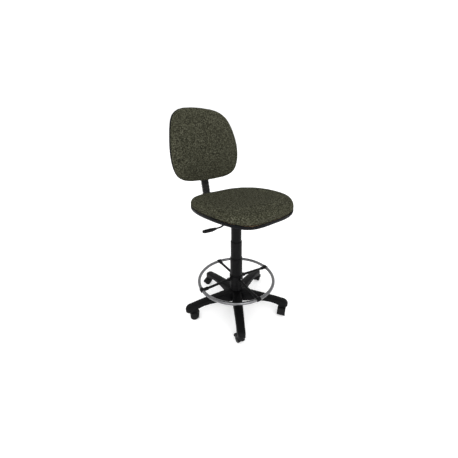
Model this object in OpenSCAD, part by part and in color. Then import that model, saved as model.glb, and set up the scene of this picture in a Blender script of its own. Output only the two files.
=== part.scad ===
// Drafting chair: five-leg nylon base on twin-wheel casters, two-stage gas lift
// under a telescopic cover, chromed footring, height lever, padded seat and a
// padded back on a flat spring-steel bar.
// Frame: +Z up, origin on the floor on the column axis. The chair faces -Y, so
// the sitter's left is +X and the sitter's right, where the lever is, is -X.
// Millimetres. Rest position: lift at mid-stroke.

/* [Base] */
// Distance from the column axis to the tip of a leg
leg_tip_r = 318; // [300:1:326]
// Distance from the column axis to a caster's stem
caster_r = 286; // [280:1:290]
// Width of a leg near the hub
leg_w_hub = 60; // [54:1:64]
// Width of a leg near its tip
leg_w_tip = 46; // [44:1:52]
// Height of the top of the base's hub
hub_top = 129; // [125:1:131]

/* [Casters] */
// Diameter of a caster wheel
wheel_d = 46; // [44:1:46]
// Distance from the stem's axis to the wheels' axle
trail = 17; // [16:0.5:18]
// Diameter of a caster's steel stem
stem_d = 11; // [10:0.5:11]

/* [Gas lift] */
// Outside diameter of the lift's outer tube
tube_d = 50; // [50:0.1:50.4]
// Height of the top of the outer tube
tube_top = 385; // [375:1:390]
// Diameter of the gas cylinder that slides in the tube
cylinder_d = 28; // [26:0.5:28]

/* [Footring] */
// Radius of the ring, to the middle of its tube
ring_r = 222; // [205:1:230]
// Diameter of the ring's tube
ring_tube_d = 18; // [16:1:20]
// Height of the ring above the floor
ring_z = 206; // [204:1:210]
// Turn of the spokes about the column
spoke_turn = -9.5; // [-30:0.5:30]

/* [Seat] */
// Height of the underside of the seat's plastic shell
seat_z = 651; // [650:0.5:652]
// Thickness of the seat's foam and cover above the board
seat_foam = 50; // [40:1:56]
// How far the front edge rolls down
seat_drop = 14; // [6:1:16]

/* [Back] */
// Lean of the back's steel bar from upright, in degrees
bar_lean = 10; // [9.5:0.25:10.5]
// How far the back cushion stands forward at the middle
back_foam = 26; // [18:1:34]
// Thickness of the steel bar
bar_t = 6; // [5:0.5:6]

/* [Hidden] */

$fn = 48;
e = 0.01;
inf = 400;
plastic = "#1d1d1f"; steel = "#b9bcc0"; black_steel = "#19191b"; chrome = "#d6d9dd";
fabric = "#41423a"; ply = "#b08a5a"; rubber = "#202022";

// ---- shared shape functions ----
// value of a hand-set table [[x, y], ...] at x
function tab(t, x, i = 0) = i >= len(t) - 2 || x <= t[i + 1][0]
  ? t[i][1] + (t[i + 1][1] - t[i][1]) * min(1, max(0, (x - t[i][0]) / (t[i + 1][0] - t[i][0])))
  : tab(t, x, i + 1);
// a smooth closed curve through points, n steps between neighbours
function cr(a, b, c, d, t) = 0.5 * (2 * b + (c - a) * t + (2 * a - 5 * b + 4 * c - d) * t * t
  + (3 * b - a - 3 * c + d) * t * t * t);
function smooth(p, n) = let (L = len(p)) [for (i = [0:L - 1]) for (j = [0:n - 1])
  cr(p[(i + L - 1) % L], p[i], p[(i + 1) % L], p[(i + 2) % L], j / n)];
// half an outline, mirrored about x = 0
function whole(h) = concat(h, [for (i = [len(h) - 2:-1:1]) [-h[i][0], h[i][1]]]);
// an outline moved inward by d along its own normals
function inset(p, d) = let (L = len(p)) [for (i = [0:L - 1])
  let (t = p[(i + 1) % L] - p[(i + L - 1) % L], n = [t[1], -t[0]] / norm(t)) p[i] - d * n];
function shrink(p, c, s) = [for (q = p) c + s * (q - c)];
function mean(r) = [for (k = [0:2]) let (s = [for (q = r) q[k]]) s * [for (q = r) 1] / len(r)];
// a solid through rings of equal length, closed by a fan at each end
module loft(rings) {
  n = len(rings[0]); m = len(rings);
  polyhedron(concat([for (r = rings) each r], [mean(rings[0]), mean(rings[m - 1])]),
    concat(
      [for (k = [0:m - 2]) for (i = [0:n - 1]) let (j = (i + 1) % n)
        each [[k * n + i, (k + 1) * n + i, (k + 1) * n + j], [k * n + i, (k + 1) * n + j, k * n + j]]],
      [for (i = [0:n - 1]) [m * n, i, (i + 1) % n]],
      [for (i = [0:n - 1]) [m * n + 1, (m - 1) * n + (i + 1) % n, (m - 1) * n + i]]));
}
// a tube between two heights
module ring(ro, ri, z0, z1) difference() {
  translate([0, 0, z0]) cylinder(h = z1 - z0, r = ro);
  translate([0, 0, z0 - 1]) cylinder(h = z1 - z0 + 2, r = ri);
}
module rod(a, b, r) {
  d = b - a; L = norm(d);
  translate(a) rotate([0, acos(d[2] / L), atan2(d[1], d[0])]) cylinder(h = L, r = r);
}

// ---- base ----
leg_angles = [-126, -54, 18, 90, 162];
// heights of a leg's top and underside, and its half width, along its length
leg_top = [[18, 127], [46, 126.5], [70, 122.5], [130, 115.5], [200, 107.5], [260, 100], [292, 95], [304, 91.5], [312, 86], [318, 78]];
leg_low = [[18, 64], [56, 66], [84, 74], [120, 82], [170, 86], [220, 83], [250, 74], [266, 65], [275, 58.5], [318, 58.5]];
hub_r = 38;
leg_stations = [20, 44, 62, 84, 112, 145, 180, 215, 245, 260, 276, 292, 302, 309, 314, 317.4];
function leg_hw(r) = let (w = leg_w_hub / 2 + (leg_w_tip - leg_w_hub) / 2 * min(1, max(0, (r - 50) / 215)),
  tip = 292, q = (r - tip) / (318 - tip)) r > tip ? w * sqrt(max(0.02, 1 - q * q)) : w;
leg_sec = [[0.6, 0], [1, 0], [1, 0.3], [0.97, 0.72], [0.86, 0.92], [0.62, 1], [0, 1.035],
  [-0.62, 1], [-0.86, 0.92], [-0.97, 0.72], [-1, 0.3], [-1, 0], [-0.6, 0]];
leg_k = leg_tip_r / 318;
function leg_ring(r, dw, dt, db) = let (w = leg_hw(r) - dw, b = tab(leg_low, r) + db, t = tab(leg_top, r) - dt)
  [for (s = leg_sec) [r * leg_k, s[0] * w, b + s[1] * (t - b)]];
tube_low = 52;
seat_taper_top = hub_top;
stem_r = stem_d / 2;
stem_lo = 42.5; stem_hi = 82;
module star_base() color(plastic) difference() {
  union() {
    translate([0, 0, 62]) cylinder(h = hub_top - 62, r = hub_r);
    for (a = leg_angles) rotate([0, 0, a]) {
      difference() {
        loft([for (r = leg_stations) leg_ring(r, 0, 0, 0)]);
        loft([for (r = [44, 62, 84, 112, 145, 180, 215, 245, 256]) leg_ring(r, 4, 4.5, -9)]);
      }
      for (r = [96, 142, 188, 232]) let (b = tab(leg_low, r) + 2, t = tab(leg_top, r) - 3, w = leg_hw(r) - 2.5)
        translate([r * leg_k - 1.25, -w, b]) cube([2.5, 2 * w, t - b]);
    }
  }
  translate([0, 0, tube_low]) cylinder(h = seat_taper_top - tube_low, r1 = tube_d / 2 - 1.2, r2 = tube_d / 2);
  translate([0, 0, seat_taper_top - e]) cylinder(h = 10, r = tube_d / 2);
  for (a = leg_angles) rotate([0, 0, a]) translate([caster_r, 0, 50]) cylinder(h = stem_hi - 50, r = stem_r);
}
// the steel pressure tube's shape: tapered seat below, straight above
module lift_outer_tube() color(black_steel) difference() {
  union() {
    translate([0, 0, tube_low]) cylinder(h = seat_taper_top - tube_low, r1 = tube_d / 2 - 1.2, r2 = tube_d / 2);
    translate([0, 0, seat_taper_top]) cylinder(h = tube_top - seat_taper_top, r = tube_d / 2);
  }
  translate([0, 0, tube_low + 4]) cylinder(h = inf, r = tube_d / 2 - 2.2);
  translate([0, 0, 40]) cylinder(h = 40, r = 5.8);
}
cyl_r = cylinder_d / 2;
module guide_bush() color("#3a3a3c") difference() {
  translate([0, 0, 300]) cylinder(h = tube_top - 300, r = tube_d / 2 - 2.2);
  translate([0, 0, 290]) cylinder(h = 120, r = cyl_r + 0.05);
}
module thrust_bearing() color(steel) {
  ring(12, 5.8, tube_low + 4, tube_low + 6);
  ring(12, 5.8, tube_low + 8.5, tube_low + 10.5);
  difference() {
    ring(11.4, 6.2, tube_low + 6, tube_low + 8.5);
    for (a = [0:45:315]) rotate([0, 0, a]) translate([8.8, 0, tube_low]) cylinder(h = 20, r = 1.3, $fn = 24);
  }
}
module caster_stems() color(steel) for (a = leg_angles) rotate([0, 0, a]) translate([caster_r, 0, 0]) {
  translate([0, 0, stem_lo]) cylinder(h = stem_hi - stem_lo, r = stem_r);
  translate([0, 0, 56.9]) cylinder(h = 1.6, r = 9);
}

// ---- casters ----
// which way each caster trails
caster_turn = [72, -150, 29, 120, -35];
wr = wheel_d / 2;
hood_top = 56.6;
// local frame: stem on Z at the origin, the axle trails along +X
module at_caster(i) rotate([0, 0, leg_angles[i]]) translate([caster_r, 0, 0])
  rotate([0, 0, caster_turn[i] - leg_angles[i]]) children();
module across(x, y0, y1, z, r) translate([x, y0, z]) rotate([-90, 0, 0]) cylinder(h = y1 - y0, r = r);
module caster_hood(i) color(plastic) at_caster(i) difference() {
  union() {
    // fender over the wheels, cut off on a slant
    difference() {
      across(trail, -23.6, 23.6, wr, wr + 4);
      translate([trail, 0, wr]) rotate([0, 26, 0]) translate([-80, -60, -120]) cube([160, 120, 122]);
      for (s = [-1, 1]) across(trail, s > 0 ? 2.6 : -40, s > 0 ? 40 : -2.6, wr, wr + 1.4);
    }
    // side skirts that close the fender's ends over the wheels' upper rims
    across(trail, -2.6, 2.6, wr, wr - 2.5);
    // boss for the stem
    difference() {
      translate([0, 0, 31]) cylinder(h = hood_top - 31, r = 10);
      for (s = [-1, 1]) across(trail, s > 0 ? 2.6 : -40, s > 0 ? 40 : -2.6, wr, wr + 1.4);
    }
  }
  translate([0, 0, stem_lo - 1]) cylinder(h = 40, r = stem_r + 0.05);
  across(trail, -30, 30, wr, 4);
}
module caster_axle(i) color(steel) at_caster(i) across(trail, -20, 20, wr, 4);
module caster_wheel(i, s) color(plastic) at_caster(i) translate([trail, 0, wr]) rotate([s > 0 ? -90 : 90, 0, 0])
  rotate_extrude($fn = 64) polygon([[4.05, 3.2], [wr - 4.5, 3.2], [wr - 1.2, 3.6], [wr, 5.2], [wr, 17], [wr - 0.9, 19.6],
    [wr - 3.2, 21], [wr - 6, 21.4], [wr - 8, 20.6], [9, 20.6], [7, 21.6], [0, 22.4], [0, 20.5], [4.05, 20.5]]);
module hood_front_right() caster_hood(0);
module axle_front_right() caster_axle(0);
module wheel_a_front_right() caster_wheel(0, 1);
module wheel_b_front_right() caster_wheel(0, -1);
module hood_front_left() caster_hood(1);
module axle_front_left() caster_axle(1);
module wheel_a_front_left() caster_wheel(1, 1);
module wheel_b_front_left() caster_wheel(1, -1);
module hood_left() caster_hood(2);
module axle_left() caster_axle(2);
module wheel_a_left() caster_wheel(2, 1);
module wheel_b_left() caster_wheel(2, -1);
module hood_rear() caster_hood(3);
module axle_rear() caster_axle(3);
module wheel_a_rear() caster_wheel(3, 1);
module wheel_b_rear() caster_wheel(3, -1);
module hood_right() caster_hood(4);
module axle_right() caster_axle(4);
module wheel_a_right() caster_wheel(4, 1);
module wheel_b_right() caster_wheel(4, -1);

// ---- lift spindle: turns with the seat, does not rise ----
module piston_rod() color(steel) {
  translate([0, 0, tube_low - 4.5]) cylinder(h = 375 - tube_low + 4.5, r = 5);
  translate([0, 0, tube_low + 10.6]) cylinder(h = 3, r = 9);
}
module piston() color("#55565a") difference() {
  translate([0, 0, 375]) cylinder(h = 16, r = cyl_r - 3 - 0.05);
  for (z = [378.5, 384.5]) translate([0, 0, z]) ring(cyl_r, cyl_r - 4, 0, 2.5);
}
module rod_clip() color(steel) ring(9, 5, tube_low - 3.2, tube_low - 0.4);

// ---- seat side of the lift ----
cyl_low = 180; cyl_top = 622; taper_z = 580;
module gas_cylinder() color(black_steel) difference() {
  union() {
    translate([0, 0, cyl_low]) cylinder(h = taper_z - cyl_low, r = cyl_r);
    translate([0, 0, taper_z]) cylinder(h = cyl_top - taper_z, r1 = cyl_r, r2 = cyl_r - 1);
  }
  translate([0, 0, cyl_low + 8]) cylinder(h = 570 - cyl_low - 8, r = cyl_r - 3);
  translate([0, 0, cyl_low - 1]) cylinder(h = 10, r = cyl_r - 2);
  translate([0, 0, 582]) cylinder(h = 60, r = 4.05);
}
module cylinder_seal() color(rubber) ring(cyl_r - 2, 5.05, cyl_low, cyl_low + 8);
module release_pin() color("#c0392b") translate([0, 0, 590]) cylinder(h = 42, r = 4);
module taper_socket() color(steel) difference() {
  translate([0, 0, taper_z - 4]) cylinder(h = 48.5, r = 19);
  translate([0, 0, taper_z]) cylinder(h = cyl_top - taper_z, r1 = cyl_r, r2 = cyl_r - 1);
  translate([0, 0, taper_z - 10]) cylinder(h = 10 + e, r = cyl_r + 0.2);
  translate([0, 0, cyl_top - e]) cylinder(h = 20, r = cyl_r - 1);
}

// ---- seat mechanism ----
plate_lo = seat_z - 3;
box_x = 36; box_lo = 593;
knob_y = 122;
bolt_at = [[-62, -86], [62, -86], [-62, 106], [62, 106]];
pivot = [-27, 0, 629];
module rounded_plate(x0, x1, y0, y1, z0, z1, r) difference() {
  translate([x0, y0, z0]) cube([x1 - x0, y1 - y0, z1 - z0]);
  for (sx = [0, 1], sy = [0, 1]) let (cx = sx ? x1 - r : x0 + r, cy = sy ? y1 - r : y0 + r) difference() {
    translate([sx ? cx : x0 - 1, sy ? cy : y0 - 1, z0 - 1]) cube([r + 1, r + 1, z1 - z0 + 2]);
    translate([cx, cy, z0 - 2]) cylinder(h = z1 - z0 + 4, r = r);
  }
}
module mechanism_housing() color(black_steel) difference() {
  union() {
    rounded_plate(-82, 82, -108, 128, plate_lo, seat_z, 14);
    // pressed box round the lift's taper
    translate([-box_x, -71, box_lo]) cube([2 * box_x, 120, plate_lo - box_lo + 1]);
    // rear guide for the back's bar
    translate([-30, 48, 601]) cube([60, 104, plate_lo - 601 + 1]);
    // stiffening wings under the plate
    for (s = [-1, 1]) translate([s > 0 ? box_x - 1 : -62, -40, plate_lo - 7]) cube([27, 3, 8]);
    for (s = [-1, 1]) translate([s > 0 ? box_x - 1 : -62, 26, plate_lo - 7]) cube([27, 3, 8]);
  }
  // inside of the box, with its lug for the pivot pin left standing
  difference() {
    translate([-box_x + 3, -68, box_lo + 3]) cube([2 * box_x - 6, 114, plate_lo - box_lo - 3]);
    translate([-33.5, 11.5, 620]) cube([12, 4, 30]);
  }
  translate([0, 0, box_lo - 5]) cylinder(h = 20, r = 19);
  // slot for the bar, and for the knob's stud
  translate([-19.4, 30, 611.6]) cube([38.8, 200, 6.8]);
  translate([0, knob_y, 590]) cylinder(h = 25, r = 4.2);
  // way out for the lever
  translate([-45, -67, 620.5]) cube([20, 14, 17]);
  // pivot pin, bolts
  across(pivot[0], -80, 16.5, pivot[2], 2.5);
  for (b = bolt_at) translate([b[0], b[1], plate_lo - 5]) cylinder(h = 20, r = 3.3);
}
module lever_pivot_pin() color(steel) across(pivot[0], -72, 15.5, pivot[2], 2.5);
module seat_bolts() color(steel) for (b = bolt_at) translate([b[0], b[1], 0]) {
  translate([0, 0, plate_lo - 4.2]) cylinder(h = 4.2, r = 5.5, $fn = 6);
  translate([0, 0, plate_lo - 1]) cylinder(h = 17, r = 3);
}
board_lo = seat_z + 3.6;
board_t = 12;
arm_at = [[-106, -30], [-106, 25], [106, -30], [106, 25]];
module tee_nuts() color(steel) for (b = concat(bolt_at, arm_at)) translate([b[0], b[1], 0]) {
  ring(4, 3, board_lo, board_lo + board_t + 0.4);
  ring(9, 3, board_lo + board_t + 0.3, board_lo + board_t + 1.4);
}

// ---- seat ----
// half outline of the seat, front to rear
seat_half = [[0, -266], [75, -265], [137, -254], [187, -224], [223, -172], [239, -105], [243, -24],
  [230, 56], [202, 117], [160, 161], [92, 185], [0, 184]];
seat_loop = smooth(whole(seat_half), 2);
seat_mid = [0, -50];
function drop(y) = y < -130 ? -seat_drop * pow((-130 - y) / 130, 2) : 0;
// the sides sweep up a little, and the middle stays flat
seat_rise = 12;
function rise(x) = abs(x) > 118 ? seat_rise * pow((abs(x) - 118) / 120, 2) : 0;
function dish(p, z) = [for (q = p) [q[0], q[1], z + drop(q[1]) + rise(q[0])]];
seat_in = inset(seat_loop, 22);
function si(s) = shrink(seat_in, seat_mid, s);
module seat_shell() color(plastic) difference() {
  loft([dish(si(0.38), seat_z), dish(si(0.58), seat_z), dish(si(0.78), seat_z), dish(si(0.96), seat_z), dish(inset(seat_loop, 12), seat_z + 1.2),
    dish(inset(seat_loop, 4.5), seat_z + 4.5), dish(inset(seat_loop, 0.8), seat_z + 10), dish(seat_loop, seat_z + 17),
    dish(inset(seat_loop, 0.6), seat_z + 20.4), dish(inset(seat_loop, 2.4), seat_z + 20.4), dish(inset(seat_loop, 3.6), seat_z + 12),
    dish(inset(seat_loop, 8), seat_z + 6), dish(inset(seat_loop, 14), seat_z + 3.5), dish(si(0.96), seat_z + 3),
    dish(si(0.78), seat_z + 3), dish(si(0.58), seat_z + 3), dish(si(0.38), seat_z + 3)]);
  for (b = bolt_at) translate([b[0], b[1], seat_z - 5]) cylinder(h = 20, r = 3.4);
  for (b = arm_at) translate([b[0], b[1], seat_z - 5]) cylinder(h = 20, r = 8);
}
module seat_board() color(ply) difference() {
  loft([dish(si(0.38), board_lo), dish(si(0.58), board_lo), dish(si(0.78), board_lo), dish(si(0.96), board_lo), dish(si(1), board_lo + 0.6),
    dish(si(1), board_lo + board_t - 1), dish(si(0.97), board_lo + board_t), dish(si(0.78), board_lo + board_t), dish(si(0.58), board_lo + board_t), dish(si(0.38), board_lo + board_t)]);
  for (b = concat(bolt_at, arm_at)) translate([b[0], b[1], seat_z - 5]) cylinder(h = 40, r = 4);
}
foam_lo = board_lo + board_t + 1.6;
foam_hi = board_lo + board_t + seat_foam;
function sl(d, z) = dish(inset(seat_loop, d), z);
module seat_cushion() color(fabric) loft([dish(si(0.38), foam_lo), dish(si(0.58), foam_lo), dish(si(0.78), foam_lo), dish(si(1), foam_lo),
  sl(7, foam_lo + 0.4), sl(3.4, foam_lo + 3), sl(1.5, foam_lo + 5), sl(-0.5, foam_lo + 9), sl(-1, foam_lo + 15), sl(0.8, foam_lo + 23),
  sl(6, foam_hi - 14), sl(15, foam_hi - 7), sl(30, foam_hi - 2.5), dish(si(0.82), foam_hi - 0.6), dish(si(0.6), foam_hi), dish(si(0.35), foam_hi)]);

// ---- telescopic cover ----
module sleeve_upper() color(plastic) {
  difference() {
    union() {
      translate([0, 0, 375]) cylinder(h = 217.7, r = 28.9);
      translate([0, 0, 375]) cylinder(h = 5, r = 30.2);
    }
    translate([0, 0, 370]) cylinder(h = 219, r = 27.3);
    translate([0, 0, 560]) cylinder(h = 40, r = 19.2);
  }
}
module sleeve_middle() color(plastic) difference() {
  union() {
    translate([0, 0, 283]) cylinder(h = 172, r = 32.2);
    translate([0, 0, 283]) cylinder(h = 5, r = 33.5);
  }
  translate([0, 0, 280]) cylinder(h = 170.5, r = 30.6);
  translate([0, 0, 440]) cylinder(h = 30, r = 29.3);
}
module sleeve_lower() color(plastic) difference() {
  union() {
    translate([0, 0, 190]) cylinder(h = 160, r = 35.5);
    translate([0, 0, 190]) cylinder(h = 4, r = 36.2);
  }
  translate([0, 0, 180]) cylinder(h = 165.5, r = 33.9);
  translate([0, 0, 340]) cylinder(h = 30, r = 32.6);
}

// ---- footring ----
spoke_r = 7.5;
spoke_out = ring_r - 10;
hub_z = ring_z + 8;
spoke_tilt = asin((hub_z - ring_z) / (ring_r - 45));
module at_spokes() for (a = [0:90:270]) rotate([0, 0, a + spoke_turn]) children();
// along a spoke: the local X axis runs outward and slightly down
module on_spoke() translate([40, 0, hub_z]) rotate([0, spoke_tilt, 0]) children();
module footring_hub() color(plastic) difference() {
  union() {
    translate([0, 0, 165]) cylinder(h = 70, r = 40);
    translate([0, 0, 165]) cylinder(h = 6, r = 41.5);
    at_spokes() on_spoke() {
      translate([-6, 0, 0]) rotate([0, 90, 0]) cylinder(h = 24, r = 11);
      translate([12, 0, 0]) cylinder(h = 11.5, r = 5.5);
    }
  }
  translate([0, 0, 160]) cylinder(h = 90, r = tube_d / 2 + 0.05);
  translate([0, 0, 190]) cylinder(h = 60, r = 36.2);
  at_spokes() on_spoke() {
    translate([0.5, 0, 0]) rotate([0, 90, 0]) cylinder(h = 40, r = spoke_r);
    translate([12, 0, 0]) cylinder(h = 30, r = 2);
  }
}
module footring_spokes() color(black_steel) at_spokes() on_spoke() difference() {
  translate([0.5, 0, 0]) rotate([0, 90, 0]) cylinder(h = spoke_out - 40.5, r = spoke_r);
  translate([8, 0, 0]) rotate([0, 90, 0]) cylinder(h = 250, r = spoke_r - 1.5);
  translate([12, 0, 0]) cylinder(h = 30, r = 2);
}
module footring_screws() color(steel) at_spokes() on_spoke() translate([12, 0, 0]) {
  translate([0, 0, 3.5]) cylinder(h = 8, r = 2);
  translate([0, 0, 11.5]) cylinder(h = 2.2, r = 4);
}
module footring_ring() color(chrome) translate([0, 0, ring_z]) difference() {
  rotate_extrude($fn = 96) translate([ring_r, 0]) circle(r = ring_tube_d / 2);
  rotate_extrude($fn = 96) translate([ring_r, 0]) circle(r = ring_tube_d / 2 - 1.5);
}
// a saddle on each spoke's end that grips the ring, open below
module footring_clips() color(plastic) difference() {
  at_spokes() difference() {
    union() {
      translate([ring_r, -12, ring_z]) rotate([-90, 0, 0]) cylinder(h = 24, r = ring_tube_d / 2 + 3.2);
      on_spoke() translate([spoke_out - 64, 0, 0]) rotate([0, 90, 0]) cylinder(h = 26, r = spoke_r + 2.5);
    }
    on_spoke() translate([100, 0, 0]) rotate([0, 90, 0]) cylinder(h = spoke_out - 140, r = spoke_r);
    translate([ring_r - 40, -20, ring_z - 30]) cube([80, 40, 30 - ring_tube_d / 2 + 4]);
  }
  translate([0, 0, ring_z]) rotate_extrude($fn = 96) translate([ring_r, 0]) circle(r = ring_tube_d / 2);
}
module footring_lock_nut() color(plastic) difference() {
  translate([0, 0, 136]) cylinder(h = 28.7, r = 39);
  for (a = [0:18:342]) rotate([0, 0, a]) translate([40.6, 0, 130]) cylinder(h = 40, r = 3.2, $fn = 24);
  translate([0, 0, 130]) cylinder(h = 50, r = tube_d / 2 + 0.06);
}

// ---- height lever ----
rod_r = 4;
lever_y = -60;
path = [[-27, 629], [-62, 629], [-150, 601], [-206, 601]];
module lever_rod() color(black_steel) difference() {
  union() {
    across(pivot[0], -67.4, 10.9, pivot[2], 4.7);
    for (i = [0:2]) rod([path[i][0], lever_y, path[i][1]], [path[i + 1][0], lever_y, path[i + 1][1]], rod_r);
    for (i = [1:2]) translate([path[i][0], lever_y, path[i][1]]) sphere(r = rod_r + 0.04);
    translate([-27, -7, 632.3]) cube([33, 14, 3]);
  }
  across(pivot[0], -80, 30, pivot[2], 2.55);
}
module lever_paddle() color(plastic) difference() {
  hull() {
    translate([-238, lever_y, 600.5]) cylinder(h = 7, r = 12.5, $fn = 32);
    translate([-206, lever_y, 597]) cylinder(h = 10, r = 11, $fn = 32);
    translate([-182, lever_y, 601]) rotate([0, 90, 0]) cylinder(h = 4, r = 6, $fn = 32);
  }
  rod([-207, lever_y, 601], [-150, lever_y, 601], rod_r);
}

// ---- back bar ----
bar_x = 19;
bar_p = [276, 680];
// local frame of the leaning part: +Z up along the bar, +Y out of its back
module on_bar() translate([0, bar_p[0], bar_p[1]]) rotate([-bar_lean, 0, 0]) children();
bend_r = 35;
bend_y = bar_p[0] - (bar_p[1] - 615) * tan(bar_lean);
bend_t = bend_r * tan((90 - bar_lean) / 2);
bar_low = -(bar_p[1] - 615) / cos(bar_lean) + bend_t;
bar_high = 229;
module back_bar() color(black_steel) {
  translate([-bar_x, 56, 615 - bar_t / 2]) cube([2 * bar_x, bend_y - bend_t - 56, bar_t]);
  translate([-bar_x, bend_y - bend_t, 615 + bend_r]) rotate([0, 90, 0])
    rotate_extrude(angle = 90 - bar_lean, $fn = 96) translate([bend_r - bar_t / 2, 0]) square([bar_t, 2 * bar_x]);
  on_bar() translate([-bar_x, -bar_t / 2, bar_low]) cube([2 * bar_x, bar_t, bar_high - bar_low]);
}
// soft ribbed boot on the bar between the seat and the back
bell_lo = -27; bell_hi = 92; folds = 13;
function rrect(hx, hy, r, z) = [for (q = [0:3]) for (a = [0:30:90]) let (t = q * 90 + a,
  sx = (q == 0 || q == 3) ? 1 : -1, sy = q < 2 ? 1 : -1) [sx * (hx - r) + r * cos(t), sy * (hy - r) + r * sin(t), z]];
module bar_bellows() color(rubber) on_bar() difference() {
  loft([for (i = [0:2 * folds]) let (o = i % 2 ? 0 : 3.2) rrect(25.5 - o, 14 - o, 8, bell_lo + (bell_hi - bell_lo) * i / (2 * folds))]);
  translate([-20.2, -7.5, bell_lo - 1]) cube([40.4, 15, bell_hi - bell_lo + 2]);
}
module lobed(r, h, n) difference() {
  cylinder(h = h, r = r);
  for (i = [0:n - 1]) rotate([0, 0, i * 360 / n]) translate([r + 3.4, 0, -1]) cylinder(h = h + 2, r = 6, $fn = 32);
}
module depth_knob() color(plastic) translate([0, knob_y, 0]) {
  translate([0, 0, 568]) lobed(22, 20, 6);
  translate([0, 0, 587]) cylinder(h = 8, r = 9);
  translate([0, 0, 590]) cylinder(h = 21.5, r = 4.14);
}

// ---- back ----
// half outline of the back in X and Z, bottom to top
back_half = [[0, 760], [84, 762], [146, 772], [188, 797], [210, 842], [217, 898], [213, 950], [203, 1000],
  [188, 1050], [164, 1094], [118, 1124], [60, 1134], [0, 1136]];
back_loop = smooth(whole(back_half), 2);
back_mid = [0, 940];
// depth of the back's curved middle surface: hollow at the loins, wrapped round the sides
function back_y(p) = 252 + (p[1] > 860 ? 0.00078 : 0.0004) * pow(p[1] - 860, 2) - 14 * pow(p[0] / 217, 2);
function leaf(p, d) = [for (q = p) [q[0], back_y(q) + d, q[1]]];
back_in = inset(back_loop, 20);
function bi(s) = shrink(back_in, back_mid, s);
function bl(d, y) = leaf(inset(back_loop, d), y);
module back_skin(o) loft([leaf(bi(0.3), 36 + o), leaf(bi(0.6), 36 + o), leaf(bi(0.85), 35.4 + o), leaf(bi(1), 33.5 + o), bl(9, 29 + o), bl(3.5, 23.5 + o), bl(1, 17),
  bl(1, 11), bl(3, 8), leaf(bi(0.9), 8), leaf(bi(0.6), 8), leaf(bi(0.3), 8)]);
module back_shell() color(plastic) difference() {
  loft([leaf(bi(0.3), 36), leaf(bi(0.6), 36), leaf(bi(0.85), 35.4), leaf(bi(1), 33.5), bl(9, 29), bl(3.5, 23.5), bl(1, 17),
    bl(1.2, 10.6), bl(3, 10.6), bl(3.8, 16.6), bl(6.4, 21.2), bl(11, 25.8), leaf(bi(0.97), 30.4), leaf(bi(0.85), 32.4), leaf(bi(0.6), 33), leaf(bi(0.3), 33)]);
  back_holes();
  // notch in the lower edge where the bellows pass
  on_bar() translate([-27, -16, 55]) cube([54, 60, 40]);
}
module back_board() color(ply) difference() {
  loft([leaf(bi(0.3), 32.4), leaf(bi(0.6), 32.4), leaf(bi(0.83), 31.8), leaf(bi(0.94), 30), leaf(bi(0.955), 22), leaf(bi(0.83), 22), leaf(bi(0.6), 22), leaf(bi(0.3), 22)]);
  back_holes();
}
module back_cushion() color(fabric) loft([leaf(bi(0.3), 21.4), leaf(bi(0.6), 21.4), leaf(bi(0.9), 21.4), leaf(bi(0.99), 21), bl(9, 17), bl(4, 11),
  bl(0.5, 8.5), bl(-1, 3), bl(-0.5, -3), bl(4, -10), bl(14, -16), leaf(bi(0.88), 4 - back_foam), leaf(bi(0.7), 1 - back_foam),
  leaf(bi(0.45), -back_foam), leaf(bi(0.2), -back_foam)]);
// screws that hold the bracket through the shell to the board
screw_at = [[-25, 128], [25, 128], [-25, 252], [25, 252]];
screw_tip = [-15, -15, -33, -33];
module back_holes() on_bar() for (i = [0:3]) translate([screw_at[i][0], 40, screw_at[i][1]]) rotate([90, 0, 0]) cylinder(h = 40 - screw_tip[i], r = 2.2);
module back_bracket() color(plastic) difference() {
  on_bar() union() {
    translate([-30, -30, 100]) cube([60, 42, 172]);
    translate([0, 11, 190]) rotate([-90, 0, 0]) cylinder(h = 4, r = 13);
  }
  back_skin(0.25);
  on_bar() {
    translate([-19.4, -3.4, 90]) cube([38.8, 6.8, 176]);
    translate([0, 30, 190]) rotate([90, 0, 0]) cylinder(h = 30, r = 4.2);
  }
  back_holes();
  on_bar() for (s = screw_at) translate([s[0], 9, s[1]]) rotate([-90, 0, 0]) cylinder(h = 20, r = 4.6);
}
module back_screws() color(steel) on_bar() for (i = [0:3]) {
  translate([screw_at[i][0], 9, screw_at[i][1]]) rotate([90, 0, 0]) cylinder(h = 9 - screw_tip[i], r = 2.2);
  translate([screw_at[i][0], 9, screw_at[i][1]]) rotate([-90, 0, 0]) cylinder(h = 2.4, r = 4.4);
}
module height_knob() color(plastic) on_bar() translate([0, 0, 190]) rotate([-90, 0, 0]) {
  translate([0, 0, 18.5]) lobed(20, 20, 6);
  translate([0, 0, 15.4]) cylinder(h = 4, r = 8);
  translate([0, 0, 3.4]) cylinder(h = 14, r = 4.14);
}

star_base();
lift_outer_tube();
guide_bush();
thrust_bearing();
caster_stems();
hood_front_right();
axle_front_right();
wheel_a_front_right();
wheel_b_front_right();
hood_front_left();
axle_front_left();
wheel_a_front_left();
wheel_b_front_left();
hood_left();
axle_left();
wheel_a_left();
wheel_b_left();
hood_rear();
axle_rear();
wheel_a_rear();
wheel_b_rear();
hood_right();
axle_right();
wheel_a_right();
wheel_b_right();
piston_rod();
piston();
rod_clip();
gas_cylinder();
cylinder_seal();
taper_socket();
mechanism_housing();
seat_bolts();
tee_nuts();
seat_board();
seat_cushion();
seat_shell();
sleeve_upper();
lever_pivot_pin();
sleeve_middle();
footring_ring();
footring_hub();
footring_spokes();
footring_clips();
footring_screws();
sleeve_lower();
footring_lock_nut();
lever_rod();
lever_paddle();
release_pin();
back_bar();
bar_bellows();
depth_knob();
back_shell();
back_board();
back_cushion();
back_bracket();
back_screws();
height_knob();
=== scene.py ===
import bpy, bmesh, math
import numpy as np
from mathutils import Vector, Matrix


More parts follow.
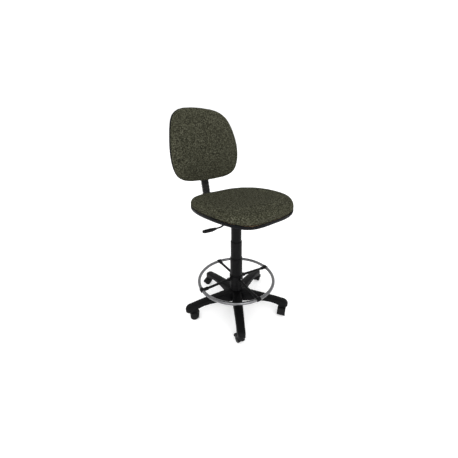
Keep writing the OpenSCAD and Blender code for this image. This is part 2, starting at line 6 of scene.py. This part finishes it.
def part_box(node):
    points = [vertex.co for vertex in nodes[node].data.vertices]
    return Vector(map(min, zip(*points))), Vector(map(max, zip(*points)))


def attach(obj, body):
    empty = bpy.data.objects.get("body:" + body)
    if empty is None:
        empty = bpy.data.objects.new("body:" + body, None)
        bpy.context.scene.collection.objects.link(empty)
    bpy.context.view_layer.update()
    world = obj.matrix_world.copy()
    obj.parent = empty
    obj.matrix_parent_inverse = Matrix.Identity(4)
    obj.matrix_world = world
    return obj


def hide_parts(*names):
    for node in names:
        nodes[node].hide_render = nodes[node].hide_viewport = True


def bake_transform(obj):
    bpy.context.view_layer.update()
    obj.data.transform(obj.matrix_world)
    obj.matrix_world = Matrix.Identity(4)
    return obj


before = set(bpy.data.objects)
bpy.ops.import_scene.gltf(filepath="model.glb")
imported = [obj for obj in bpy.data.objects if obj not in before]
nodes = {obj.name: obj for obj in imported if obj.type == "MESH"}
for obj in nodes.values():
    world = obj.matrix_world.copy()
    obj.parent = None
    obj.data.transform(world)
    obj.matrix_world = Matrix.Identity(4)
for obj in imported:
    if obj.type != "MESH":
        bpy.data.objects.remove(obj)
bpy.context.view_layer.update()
scene = bpy.context.scene
view_layer = bpy.context.view_layer


# ---------------------------------------------------------------- node helper
class Mat:
    def __init__(self, name):
        self.m = bpy.data.materials.new(name)
        self.m.use_nodes = True
        self.t = self.m.node_tree
        self.t.nodes.clear()
        self.out = self.t.nodes.new("ShaderNodeOutputMaterial")
        self.b = self.t.nodes.new("ShaderNodeBsdfPrincipled")
        self.t.links.new(self.b.outputs[0], self.out.inputs["Surface"])
        tc = self.t.nodes.new("ShaderNodeTexCoord")
        self.obj = tc.outputs["Object"]
        geo = self.t.nodes.new("ShaderNodeNewGeometry")
        self.nrm = geo.outputs["Normal"]
        self.point = geo.outputs["Pointiness"]

    def put(self, socket, v):
        if isinstance(v, bpy.types.NodeSocket):
            self.t.links.new(v, socket)
        elif v is not None:
            if hasattr(socket.default_value, "__len__") and not hasattr(v, "__len__"):
                v = [v] * len(socket.default_value)
            if hasattr(v, "__len__") and len(socket.default_value) == 4 and len(v) == 3:
                v = list(v) + [1.0]
            socket.default_value = v

    def math(self, op, a, b=None, c=None, clamp=False):
        n = self.t.nodes.new("ShaderNodeMath")
        n.operation = op
        n.use_clamp = clamp
        for i, v in enumerate((a, b, c)):
            if v is not None:
                self.put(n.inputs[i], v)
        return n.outputs[0]

    def xyz(self, v):
        n = self.t.nodes.new("ShaderNodeSeparateXYZ")
        self.put(n.inputs[0], v)
        return n.outputs[0], n.outputs[1], n.outputs[2]

    def join(self, x, y, z):
        n = self.t.nodes.new("ShaderNodeCombineXYZ")
        for i, v in enumerate((x, y, z)):
            self.put(n.inputs[i], v)
        return n.outputs[0]

    def scaled(self, s, rot=(0, 0, 0)):
        n = self.t.nodes.new("ShaderNodeMapping")
        self.put(n.inputs["Vector"], self.obj)
        n.inputs["Scale"].default_value = s
        n.inputs["Rotation"].default_value = rot
        return n.outputs[0]

    def noise(self, scale, detail=2.0, rough=0.5, v=None, distort=0.0):
        n = self.t.nodes.new("ShaderNodeTexNoise")
        self.put(n.inputs["Vector"], self.obj if v is None else v)
        n.inputs["Scale"].default_value = scale
        n.inputs["Detail"].default_value = detail
        n.inputs["Roughness"].default_value = rough
        n.inputs["Distortion"].default_value = distort
        return n.outputs["Fac"]

    def voronoi(self, scale, v=None, feature="F1"):
        n = self.t.nodes.new("ShaderNodeTexVoronoi")
        n.feature = feature
        self.put(n.inputs["Vector"], self.obj if v is None else v)
        n.inputs["Scale"].default_value = scale
        return n.outputs["Distance"]

    def span(self, v, a, b, c=0.0, d=1.0):
        n = self.t.nodes.new("ShaderNodeMapRange")
        n.clamp = True
        for i, x in enumerate((v, a, b, c, d)):
            self.put(n.inputs[i], x)
        return n.outputs[0]

    def mix(self, f, a, b, kind="MIX"):
        n = self.t.nodes.new("ShaderNodeMix")
        n.data_type = "RGBA"
        n.blend_type = kind
        self.put(n.inputs[0], f)
        self.put(n.inputs[6], a)
        self.put(n.inputs[7], b)
        return n.outputs[2]

    def bump(self, h, dist, strength=1.0, normal=None):
        n = self.t.nodes.new("ShaderNodeBump")
        n.inputs["Distance"].default_value = dist
        n.inputs["Strength"].default_value = strength
        self.put(n.inputs["Height"], h)
        if normal is not None:
            self.put(n.inputs["Normal"], normal)
        return n.outputs[0]

    def soft_edge(self, r):
        n = self.t.nodes.new("ShaderNodeBevel")
        n.samples = 4
        n.inputs["Radius"].default_value = r
        return n.outputs[0]

    def end(self, color, rough, normal=None, **fixed):
        self.put(self.b.inputs["Base Color"], color)
        self.put(self.b.inputs["Roughness"], rough)
        if normal is not None:
            self.put(self.b.inputs["Normal"], normal)
        for k, v in fixed.items():
            self.b.inputs[k.replace("_", " ")].default_value = v
        return self.m


def moulded(name, dark, light, rough, spec, grain=1100, depth=0.00010, edge=0.0012, dust=0.12, dust_col=(0.10, 0.098, 0.09)):
    """Moulded plastic: fine pebble grain, cloudy tone, rubbed edges, dust on what faces up."""
    m = Mat(name)
    cloud = m.noise(9, 4, 0.6)
    tone = m.mix(m.span(cloud, 0.35, 0.68), dark, light)
    speck = m.noise(430, 3, 0.7)
    tone = m.mix(m.span(speck, 0.55, 0.75, 0, 0.35), tone, [c * 1.9 for c in light])
    rub = m.math("MULTIPLY", m.span(m.point, 0.52, 0.60), m.span(m.noise(60, 3, 0.6), 0.42, 0.66))
    tone = m.mix(m.math("MULTIPLY", rub, 0.45), tone, [c * 3.2 for c in light])
    up = m.span(m.xyz(m.nrm)[2], 0.35, 0.95)
    d = m.math("MULTIPLY", up, m.span(m.noise(34, 5, 0.7), 0.42, 0.78, 0, dust))
    tone = m.mix(d, tone, dust_col)
    scratch = m.noise(1, 2, 0.5, v=m.scaled((620, 35, 620), (0.3, 0.2, 0.7)))
    s = m.span(scratch, 0.66, 0.72)
    r = m.math("ADD", m.span(m.noise(22, 4, 0.6), 0.3, 0.7, rough - 0.08, rough + 0.10), m.math("MULTIPLY", s, 0.08))
    h = m.math("ADD", m.voronoi(grain), m.math("MULTIPLY", s, -0.6))
    return m.end(tone, r, m.bump(h, depth, 0.8, m.soft_edge(edge)), **{"Specular_IOR_Level": spec})


def steel(name, a, b, rough, metallic=1.0, brush=(900, 900, 40), edge=0.0005, depth=0.00003):
    """Plated or painted steel with fine drawing lines, smudges and small pits."""
    m = Mat(name)
    line = m.noise(1, 3, 0.6, v=m.scaled(brush))
    smudge = m.noise(24, 4, 0.6)
    tone = m.mix(m.span(smudge, 0.3, 0.7), a, b)
    tone = m.mix(m.span(m.noise(520, 2, 0.6), 0.68, 0.76, 0, 0.4), tone, [c * 0.4 for c in a])
    r = m.math("ADD", m.span(smudge, 0.3, 0.75, rough * 0.75, rough * 1.35), m.math("MULTIPLY", line, 0.06))
    return m.end(tone, r, m.bump(line, depth, 0.5, m.soft_edge(edge)), Metallic=metallic)


def powder(name, dark, light, rough, spec):
    """Powder coat: orange-peel skin with small chips of bare steel tone on the edges."""
    m = Mat(name)
    tone = m.mix(m.span(m.noise(14, 3, 0.6), 0.3, 0.7), dark, light)
    chip = m.math("MULTIPLY", m.span(m.point, 0.53, 0.62), m.span(m.noise(260, 3, 0.7), 0.66, 0.74))
    tone = m.mix(m.math("MULTIPLY", chip, 0.25), tone, (0.10, 0.10, 0.105))
    up = m.span(m.xyz(m.nrm)[2], 0.4, 0.95)
    tone = m.mix(m.math("MULTIPLY", up, m.span(m.noise(40, 5, 0.7), 0.45, 0.8, 0, 0.03)), tone, (0.10, 0.098, 0.09))
    peel = m.math("ADD", m.noise(420, 2, 0.5), m.math("MULTIPLY", m.noise(1500, 2, 0.5), 0.4))
    r = m.span(m.noise(30, 3, 0.6), 0.3, 0.7, rough - 0.05, rough + 0.09)
    return m.end(tone, r, m.bump(peel, 0.00012, 0.7, m.soft_edge(0.0008)), **{"Specular_IOR_Level": spec})


def cloth(name, gain=0.78):
    """Tweed: plain weave of flecked yarns in black, olive and grey, mapped from three sides by the surface's own direction."""
    m = Mat(name)
    x, y, z = m.xyz(m.obj)
    n = m.t.nodes.new("ShaderNodeVectorMath")
    n.operation = "MULTIPLY"
    m.put(n.inputs[0], m.nrm)
    m.put(n.inputs[1], m.nrm)
    wx, wy, wz = m.xyz(n.outputs[0])
    wob = m.math("MULTIPLY", m.math("SUBTRACT", m.noise(60, 2, 0.5), 0.5), 0.0016)
    p = math.pi / 0.0023

    def weave(u, v):
        u, v = m.math("ADD", u, wob), m.math("SUBTRACT", v, wob)
        su, sv = m.math("SINE", m.math("MULTIPLY", u, p)), m.math("SINE", m.math("MULTIPLY", v, p))
        both = m.math("MULTIPLY", su, sv)
        nub = m.math("POWER", m.math("ABSOLUTE", both), 0.55)
        over = m.math("GREATER_THAN", both, 0.0)
        warp = m.noise(1, 2, 0.6, v=m.join(m.math("MULTIPLY", u, 300), m.math("MULTIPLY", v, 55), 0))
        weft = m.noise(1, 2, 0.6, v=m.join(m.math("MULTIPLY", u, 55), m.math("MULTIPLY", v, 300), 7.3))
        yarn = m.math("ADD", m.math("MULTIPLY", over, warp), m.math("MULTIPLY", m.math("SUBTRACT", 1.0, over), weft))
        return nub, yarn

    a, b, c = weave(x, y), weave(x, z), weave(y, z)

    def blend(i):
        return m.math("ADD", m.math("ADD", m.math("MULTIPLY", a[i], wz), m.math("MULTIPLY", b[i], wy)), m.math("MULTIPLY", c[i], wx))

    nub, yarn = blend(0), blend(1)
    g = gain
    black, olive, grey = (0.014 * g, 0.014 * g, 0.010 * g), (0.062 * g, 0.062 * g, 0.037 * g), (0.125 * g, 0.125 * g, 0.090 * g)
    tone = m.mix(m.span(yarn, 0.36, 0.52), black, olive)
    tone = m.mix(m.span(yarn, 0.54, 0.66), tone, grey)
    slub = m.noise(185, 2, 0.6, distort=0.3)
    tone = m.mix(m.span(slub, 0.34, 0.54, 0.88, 0), tone, (0.012 * g, 0.012 * g, 0.009 * g))
    tone = m.mix(m.span(slub, 0.50, 0.68, 0, 0.88), tone, (0.150 * g, 0.150 * g, 0.108 * g))
    # darkens the valleys between yarn nubs towards near black: painted shade in the gaps of the weave
    tone = m.mix(m.span(nub, 0.0, 0.5, 0.45, 0), tone, (0.008, 0.008, 0.006))
    tone = m.mix(m.span(m.noise(5, 3, 0.6), 0.35, 0.7, 0, 0.16), tone, (0.022 * g, 0.022 * g, 0.016 * g))
    fuzz = m.noise(1600, 2, 0.6)
    h = m.math("ADD", m.math("MULTIPLY", nub, 1.0), m.math("ADD", m.math("MULTIPLY", yarn, 0.5), m.math("MULTIPLY", fuzz, 0.35)))
    nrm = m.bump(slub, 0.0012, 0.35)
    return m.end(tone, m.span(fuzz, 0.3, 0.7, 0.86, 0.97), m.bump(h, 0.00055, 0.9, nrm),
                 **{"Specular_IOR_Level": 0.015, "Sheen_Weight": 0.0, "Sheen_Roughness": 0.5})


def rubber(name, dark, light, rough, spec, dust=0.16):
    m = Mat(name)
    tone = m.mix(m.span(m.noise(26, 4, 0.6), 0.3, 0.7), dark, light)
    bloom = m.math("MULTIPLY", m.span(m.xyz(m.nrm)[2], 0.0, 0.9), m.span(m.noise(90, 4, 0.7), 0.4, 0.75, 0, dust))
    tone = m.mix(bloom, tone, (0.09, 0.088, 0.08))
    h = m.math("ADD", m.noise(900, 3, 0.6), m.math("MULTIPLY", m.noise(180, 2, 0.5), 0.6))
    return m.end(tone, m.span(m.noise(50, 3, 0.6), 0.3, 0.7, rough - 0.06, rough + 0.08), m.bump(h, 0.00014, 0.7), **{"Specular_IOR_Level": spec})


def ply(name):
    m = Mat(name)
    x, y, z = m.xyz(m.obj)
    layer = m.span(m.math("SINE", m.math("MULTIPLY", z, math.pi * 2 / 0.0032)), -0.3, 0.3)
    grain = m.noise(1, 5, 0.65, v=m.scaled((22, 300, 22)), distort=0.6)
    face = m.mix(m.span(grain, 0.3, 0.7), (0.42, 0.27, 0.14), (0.60, 0.43, 0.25))
    side = m.mix(layer, (0.25, 0.15, 0.08), (0.55, 0.40, 0.24))
    tone = m.mix(m.span(m.math("ABSOLUTE", m.xyz(m.nrm)[2]), 0.4, 0.7), side, face)
    return m.end(tone, m.span(grain, 0.3, 0.7, 0.55, 0.8), m.bump(grain, 0.0002, 0.6), **{"Specular_IOR_Level": 0.3})


def chrome(name):
    """Chrome plate: bright, with smudges, faint orange peel, water marks and tiny pits."""
    m = Mat(name)
    smudge = m.noise(38, 5, 0.65)
    tone = m.mix(m.span(smudge, 0.3, 0.72), (0.105, 0.105, 0.11), (0.215, 0.215, 0.22))
    tone = m.mix(m.span(m.noise(700, 2, 0.6), 0.70, 0.77, 0, 0.6), tone, (0.12, 0.10, 0.08))
    tone = m.mix(m.span(m.noise(7, 4, 0.6), 0.45, 0.62, 0, 0.35), tone, (0.14, 0.14, 0.148))
    h = m.math("ADD", m.noise(130, 2, 0.5), m.math("MULTIPLY", m.noise(900, 2, 0.5), 0.2))
    return m.end(tone, m.span(smudge, 0.3, 0.75, 0.07, 0.18), m.bump(h, 0.00010, 0.6), Metallic=1.0)


mats = {
    "base_nylon": moulded("base_nylon_finish", (0.0014, 0.0014, 0.0016), (0.0028, 0.0028, 0.0030), 0.46, 0.075, dust=0.02),
    "cover_plastic": moulded("cover_plastic_finish", (0.0018, 0.0018, 0.0020), (0.0032, 0.0032, 0.0035), 0.42, 0.085, dust=0.015),
    "caster_nylon": moulded("caster_nylon_finish", (0.0022, 0.0022, 0.0024), (0.0042, 0.0042, 0.0044), 0.44, 0.10, grain=1500, edge=0.0008, dust=0.08),
    "shell_plastic": moulded("shell_plastic_finish", (0.0016, 0.0018, 0.0024), (0.0030, 0.0032, 0.0040), 0.44, 0.07, grain=900, edge=0.0012, dust=0.05),
    "knob_plastic": moulded("knob_plastic_finish", (0.0024, 0.0024, 0.0026), (0.0045, 0.0045, 0.0048), 0.38, 0.12, grain=1600, edge=0.0007, dust=0.05),
    "button_nylon": moulded("button_nylon_finish", (0.02, 0.02, 0.02), (0.03, 0.03, 0.03), 0.5, 0.3, grain=1800, edge=0.0003),
    "bush_nylon": moulded("bush_nylon_finish", (0.10, 0.10, 0.095), (0.16, 0.16, 0.15), 0.45, 0.3, grain=1800, edge=0.0003),
    "black_steel": powder("black_steel_finish", (0.0026, 0.0026, 0.0028), (0.0048, 0.0048, 0.0050), 0.42, 0.10),
    "bright_steel": steel("bright_steel_finish", (0.46, 0.46, 0.47), (0.60, 0.60, 0.61), 0.26),
    "chrome_ring": chrome("chrome_ring_finish"),
    "seal_rubber": rubber("seal_rubber_finish", (0.010, 0.010, 0.010), (0.018, 0.018, 0.018), 0.7, 0.2),
    "bellows_rubber": rubber("bellows_rubber_finish", (0.0075, 0.0075, 0.0078), (0.0140, 0.0140, 0.0145), 0.48, 0.32),
    "plywood": ply("plywood_finish"),
    "tweed": cloth("tweed_finish"),
}
# dark finish for the tubes laid along the cushion-to-shell seams; they stand in for the shaded gap there: painted shade
seam_shade_mat = rubber("seam_shade_finish", (0.0022, 0.0022, 0.0024), (0.0045, 0.0045, 0.0048), 0.45, 0.10, dust=0.03)

for o in nodes.values():
    for s in o.material_slots:
        key = s.material.name.split(".")[0] if s.material else ""
        if key in mats:
            s.link = "OBJECT"
            s.material = mats[key]


# ---------------------------------------------------------------- padded pieces
def mesh_object(name, me):
    o = bpy.data.objects.new(name, me)
    scene.collection.objects.link(o)
    return o


def baked(o):
    """The object's mesh with its modifiers worked in."""
    view_layer.update()
    dg = bpy.context.evaluated_depsgraph_get()
    me = bpy.data.meshes.new_from_object(o.evaluated_get(dg))
    o.modifiers.clear()
    old = o.data
    o.data = me
    bpy.data.meshes.remove(old)
    return o


def coords(me):
    a = np.empty(len(me.vertices) * 3, np.float32)
    me.vertices.foreach_get("co", a)
    return a.reshape(-1, 3).astype(float)


def put_coords(me, a):
    me.vertices.foreach_set("co", a.astype(np.float32).ravel())
    me.update()


def pad(node, name, inset, voxel, cap, pressure, held, swell=0.0035):
    """Copy of a CAD cushion, drawn in, remeshed evenly, blown up by the cloth solver and smoothed."""
    bm = bmesh.new()
    bm.from_mesh(nodes[node].data)
    bmesh.ops.remove_doubles(bm, verts=bm.verts, dist=0.00005)
    bm.normal_update()
    for v in bm.verts:
        v.co = v.co - v.normal * inset
    me = bpy.data.meshes.new(name)
    bm.to_mesh(me)
    bm.free()
    o = mesh_object(name, me)
    r = o.modifiers.new("remesh", "REMESH")
    r.mode = "VOXEL"
    r.voxel_size = voxel
    s = o.modifiers.new("smooth", "SMOOTH")
    s.factor, s.iterations = 0.5, 6
    baked(o)
    rest = coords(o.data)
    nn = np.empty(len(o.data.vertices) * 3, np.float32)
    o.data.vertices.foreach_get("normal", nn)
    nn = nn.reshape(-1, 3).astype(float)
    group = o.vertex_groups.new(name="held")
    for i, p in enumerate(rest):
        w = held(p)
        if w > 0:
            group.add([i], w, "REPLACE")
    c = o.modifiers.new("cloth", "CLOTH")
    st = c.settings
    st.quality, st.mass = 6, 0.3
    st.tension_stiffness = st.compression_stiffness = 22
    st.shear_stiffness, st.bending_stiffness = 8, 1.2
    st.tension_damping = st.compression_damping = st.shear_damping = 12
    st.use_pressure, st.uniform_pressure_force = True, pressure
    st.effector_weights.gravity = 0
    st.vertex_group_mass = group.name
    st.pin_stiffness = 1
    c.collision_settings.use_collision = False
    c.collision_settings.use_self_collision = False
    for f in range(1, 21):
        scene.frame_set(f)
    baked(o)
    scene.frame_set(1)
    now = coords(o.data)
    d = now - rest
    n = np.linalg.norm(d, axis=1)
    d = d * np.where(n > cap, cap / np.maximum(n, 1e-9), 1.0)[:, None]
    # the foam behind the cover: it fills to the CAD cushion's skin and swells a little past it
    out = (d * nn).sum(1)
    full = np.clip(out, inset - 0.0006, inset + swell)
    put_coords(o.data, rest + (d - nn * out[:, None]) * 0.5 + nn * full[:, None])
    o.vertex_groups.clear()
    s = o.modifiers.new("smooth", "SMOOTH")
    s.factor, s.iterations = 0.5, 3
    u = o.modifiers.new("subdivision", "SUBSURF")
    u.levels = u.render_levels = 1
    baked(o)
    for poly in o.data.polygons:
        poly.use_smooth = True
    o.data.materials.clear()
    o.data.materials.append(mats["tweed"])
    return o


def ridge(a, p0, p1, width, end=0.25):
    """How near each point is to the line p0 to p1: 1 on it, falling off over width and towards its ends."""
    p0, p1 = np.array(p0), np.array(p1)
    d = p1 - p0
    t = np.clip(((a - p0) @ d) / (d @ d), 0, 1)
    q = np.linalg.norm(a - (p0 + t[:, None] * d), axis=1)
    fade = np.clip(np.minimum(t, 1 - t) / end, 0, 1) ** 0.7
    return np.exp(-((q / width) ** 2)) * fade


seat_lo, seat_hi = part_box("seat_cushion")
shell_lo, shell_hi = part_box("seat_shell")
rim_z = 0.6714


def seat_drop(x, y):
    d = -0.014 * ((-0.130 - y) / 0.130) ** 2 if y < -0.130 else 0.0
    r = 0.012 * ((abs(x) - 0.118) / 0.120) ** 2 if abs(x) > 0.118 else 0.0
    return d + r


def seat_held(p):
    h = p[2] - seat_drop(p[0], p[1]) - rim_z
    return 1.0 if h < 0.001 else max(0.0, 1 - h / 0.006)


seat_pad = pad("seat_cushion", "seat_pad", 0.0045, 0.0052, 0.024, 4.0, seat_held)
a = coords(seat_pad.data)
top = np.clip((a[:, 2] - 0.688) / 0.012, 0, 1)
move = np.zeros(len(a))
for p0, p1, w, h in [((-0.045, -0.012), (-0.100, -0.075), 0.0075, -0.0032), ((-0.062, -0.018), (-0.118, -0.082), 0.010, 0.0018),
                     ((-0.030, -0.128), (-0.066, -0.176), 0.007, -0.0028), ((-0.012, -0.136), (-0.048, -0.186), 0.010, 0.0016),
                     ((0.060, -0.040), (0.030, 0.060), 0.016, -0.0014), ((0.096, -0.150), (0.150, -0.098), 0.014, -0.0016),
                     ((-0.150, 0.030), (-0.110, 0.095), 0.014, -0.0014), ((0.020, 0.100), (0.105, 0.092), 0.013, -0.0012)]:
    move += h * ridge(a[:, :2], p0, p1, w)
sit = np.exp(-(((a[:, 0]) / 0.150) ** 2 + ((a[:, 1] - 0.030) / 0.120) ** 2))
move += -0.0035 * sit
a[:, 2] += move * top
put_coords(seat_pad.data, a)

# the back: the local surface the foam stands on
def back_y(x, z):
    return (252 + (0.00078 if z > 0.860 else 0.0004) * (z * 1000 - 860) ** 2 - 14 * (x / 0.217) ** 2) / 1000


def back_held(p):
    d = p[1] - back_y(p[0], p[2])
    return 1.0 if d > 0.0105 else max(0.0, 1 - (0.0105 - d) / 0.006)


back_pad = pad("back_cushion", "back_pad", 0.0045, 0.0052, 0.024, 4.0, back_held)
a = coords(back_pad.data)
fr = np.array([back_y(x, z) for x, z in a[:, [0, 2]]]) - a[:, 1]
front = np.clip((fr + 0.002) / 0.010, 0, 1)
xz = a[:, [0, 2]]
move = np.zeros(len(a))
for p0, p1, w, h in [((0.000, 1.090), (0.003, 0.905), 0.0110, -0.0105), ((-0.034, 1.040), (-0.038, 0.925), 0.022, 0.0042),
                     ((0.036, 1.050), (0.040, 0.950), 0.022, 0.0030), ((-0.010, 1.078), (-0.062, 1.094), 0.010, -0.0018),
                     ((0.010, 1.076), (0.058, 1.092), 0.010, -0.0018), ((0.004, 1.020), (0.052, 1.000), 0.012, -0.0016),
                     ((-0.004, 1.000), (-0.060, 0.985), 0.012, -0.0014), ((-0.150, 0.850), (-0.080, 0.822), 0.016, -0.0016),
                     ((0.080, 0.822), (0.150, 0.852), 0.016, -0.0016)]:
    move += h * ridge(xz, p0, p1, w)
move += -0.0045 * np.exp(-(((a[:, 0]) / 0.013) ** 2 + ((a[:, 2] - 1.050) / 0.022) ** 2))
a[:, 1] -= move * front
put_coords(back_pad.data, a)

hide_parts("seat_cushion")
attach(seat_pad, "seat")
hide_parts("back_cushion")
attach(back_pad, "backrest")


# ---------------------------------------------------------------- seam shade: dark tubes along the cushion-to-shell gaps, painted shade
def tube(name, pts, r, mat, around=12, flat=1.0, up=None):
    """Closed tube along a loop of points."""
    P = np.array(pts)
    n = len(P)
    bm = bmesh.new()
    rings = []
    for i in range(n):
        t = Vector(P[(i + 1) % n] - P[i - 1]).normalized()
        u = Vector(up if up is not None else (0, 0, 1))
        u = (u - t * u.dot(t)).normalized()
        s = t.cross(u)
        rings.append([bm.verts.new(Vector(P[i]) + (u * math.sin(q) * flat + s * math.cos(q)) * r) for q in [2 * math.pi * k / around for k in range(around)]])
    for i in range(n):
        b = rings[(i + 1) % n]
        for k in range(around):
            bm.faces.new((rings[i][k], rings[i][(k + 1) % around], b[(k + 1) % around], b[k]))
    bmesh.ops.recalc_face_normals(bm, faces=bm.faces)
    for f in bm.faces:
        f.smooth = True
    me = bpy.data.meshes.new(name)
    bm.to_mesh(me)
    bm.free()
    me.materials.append(mat)
    return mesh_object(name, me)


def loop_of(a, b, centre, key, count=160, near=0.93):
    """The rim of a shell: in each direction from the centre, the outer point with the greatest key."""
    ang = np.arctan2(b - centre[1], a - centre[0])
    rad = np.hypot(b - centre[1], a - centre[0])
    out = []
    for i in range(count):
        t = -math.pi + 2 * math.pi * (i + 0.5) / count
        d = np.abs((ang - t + math.pi) % (2 * math.pi) - math.pi)
        m = d < 2 * math.pi / count * 1.2
        if m.sum() == 0:
            continue
        far = rad[m].max()
        idx = np.where(m & (rad > near * far))[0]
        out.append(idx[np.argmax(key[idx])])
    return out


def smooth_loop(P, k=3):
    P = np.array(P)
    for _ in range(k):
        P = (np.roll(P, 1, 0) + 2 * P + np.roll(P, -1, 0)) / 4
    return P


# seat: a dark tube along the shell's rim where the cushion meets it, painted shade of the gap
v = coords(nodes["seat_shell"].data)
i = loop_of(v[:, 0], v[:, 1], (0, -0.05), v[:, 2] - np.array([seat_drop(x, y) for x, y in v[:, :2]]))
ring = smooth_loop(v[i])
ring[:, 2] += 0.0004
seat_shade_tube = tube("seat_seam_shade", ring, 0.0021, seam_shade_mat)
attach(seat_shade_tube, "seat")

# back: the same dark tube along the shell's rim, painted shade of the gap between cushion and shell
v = coords(nodes["back_shell"].data)
i = loop_of(v[:, 0], v[:, 2], (0, 0.94), np.array([back_y(x, z) for x, z in v[:, [0, 2]]]) - v[:, 1])
ring = smooth_loop(v[i])
ring[:, 1] -= 0.0004
back_shade_tube = tube("back_seam_shade", ring, 0.0021, seam_shade_mat, up=(0, 1, 0))
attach(back_shade_tube, "backrest")


# ---------------------------------------------------------------- bellows
def bellows():
    o0 = Vector((0, 0.276, 0.680))
    up = Vector((0, math.sin(math.radians(10)), math.cos(math.radians(10))))
    out = Vector((0, math.cos(math.radians(10)), -math.sin(math.radians(10))))
    lo, hi, folds, steps, around = -0.0270, 0.0915, 13, 8, 56
    rings = []

    def section(h, hx, hy, e):
        r = []
        for k in range(around):
            q = 2 * math.pi * k / around
            c, s = math.cos(q), math.sin(q)
            x = hx * math.copysign(abs(c) ** e, c)
            y = hy * math.copysign(abs(s) ** e, s)
            r.append(o0 + Vector((x, 0, 0)) + out * y + up * h)
        return r

    collar = 0.004
    for h in (lo, lo + 0.0003, lo + collar - 0.0003, lo + collar):
        d = 0.0003 if h in (lo, lo + collar) else 0
        rings.append(section(h, 0.0245 - d, 0.0130 - d, 0.5))
    a, b = lo + collar, hi - collar
    for i in range(folds * steps + 1):
        t = i / (folds * steps)
        w = 0.5 - 0.5 * math.cos(2 * math.pi * t * folds)
        w = w ** 0.8
        rings.append(section(a + (b - a) * t, 0.0208 + 0.0053 * w, 0.0098 + 0.0047 * w, 0.52))
    for h in (hi - collar, hi - collar + 0.0003, hi - 0.0003, hi):
        d = 0.0003 if h in (hi, hi - collar) else 0
        rings.append(section(h, 0.0245 - d, 0.0130 - d, 0.5))
    # turn in at both ends to the bar
    rings.insert(0, section(lo, 0.0203, 0.0052, 0.4))
    rings.append(section(hi, 0.0203, 0.0052, 0.4))
    bm = bmesh.new()
    vs = [[bm.verts.new(p) for p in r] for r in rings]
    for r, s in zip(vs, vs[1:]):
        for k in range(around):
            bm.faces.new((r[k], r[(k + 1) % around], s[(k + 1) % around], s[k]))
    bmesh.ops.recalc_face_normals(bm, faces=bm.faces)
    for f in bm.faces:
        f.smooth = True
    me = bpy.data.meshes.new("bellows_sleeve")
    bm.to_mesh(me)
    bm.free()
    me.materials.append(mats["bellows_rubber"])
    ob = mesh_object("bellows_sleeve", me)
    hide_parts("bar_bellows")
    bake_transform(ob)
    return ob


bellows()

# ---------------------------------------------------------------- floor, light, camera
bm = bmesh.new()
bmesh.ops.create_grid(bm, x_segments=8, y_segments=8, size=14)
me = bpy.data.meshes.new("floor")
bm.to_mesh(me)
bm.free()
floor = mesh_object("floor", me)
fm = Mat("floor_finish")
fm.end(fm.mix(fm.span(fm.noise(3, 3, 0.6), 0.3, 0.7), (0.86, 0.86, 0.86), (0.90, 0.90, 0.90)), fm.span(fm.noise(40, 3, 0.6), 0.3, 0.7, 0.85, 0.95), **{"Specular_IOR_Level": 0.0, "Emission_Color": (1, 1, 1, 1), "Emission_Strength": 0.30})
me.materials.append(fm.m)

world = bpy.data.worlds.new("studio")
scene.world = world
world.use_nodes = True
wt = world.node_tree
wt.nodes.clear()
wo = wt.nodes.new("ShaderNodeOutputWorld")
soft = wt.nodes.new("ShaderNodeBackground")
soft.inputs[0].default_value = (1, 1, 1, 1)
soft.inputs[1].default_value = 0.92
plain = wt.nodes.new("ShaderNodeBackground")
plain.inputs[0].default_value = (1, 1, 1, 1)
plain.inputs[1].default_value = 1.1
path = wt.nodes.new("ShaderNodeLightPath")
both = wt.nodes.new("ShaderNodeMixShader")
wt.links.new(path.outputs["Is Camera Ray"], both.inputs[0])
wt.links.new(soft.outputs[0], both.inputs[1])
wt.links.new(plain.outputs[0], both.inputs[2])
wt.links.new(both.outputs[0], wo.inputs[0])


def lamp(kind, name, strength, where, at, angle=None, size=None):
    d = bpy.data.lights.new(name, kind)
    d.energy = strength
    if kind == "SUN":
        d.angle = angle
    if kind == "AREA":
        d.shape = "DISK"
        d.size = size
    o = bpy.data.objects.new(name, d)
    scene.collection.objects.link(o)
    o.location = where
    o.rotation_euler = (Vector(at) - Vector(where)).to_track_quat("-Z", "Y").to_euler()
    return o


lamp("SUN", "key", 1.45, (-1.7, -2.5, 3.0), (0, 0, 0.5), angle=math.radians(80))
lamp("AREA", "front", 13, (-0.9, -2.4, 2.1), (0, 0, 0.7), size=1.8)

cam = bpy.data.cameras.new("camera")
cam.sensor_width = 36
cam.lens = 17.20
cam.shift_x = -0.0159
cam.clip_start = 0.02
cam.clip_end = 60
camera = bpy.data.objects.new("camera", cam)
scene.collection.objects.link(camera)
camera.location = (-0.7217, -0.8302, 1.007)
camera.rotation_euler = Vector((0.6016, 0.6921, -0.3987)).to_track_quat("-Z", "Y").to_euler()
scene.camera = camera
scene.view_settings.view_transform = "Standard"
scene.view_settings.look = "None"
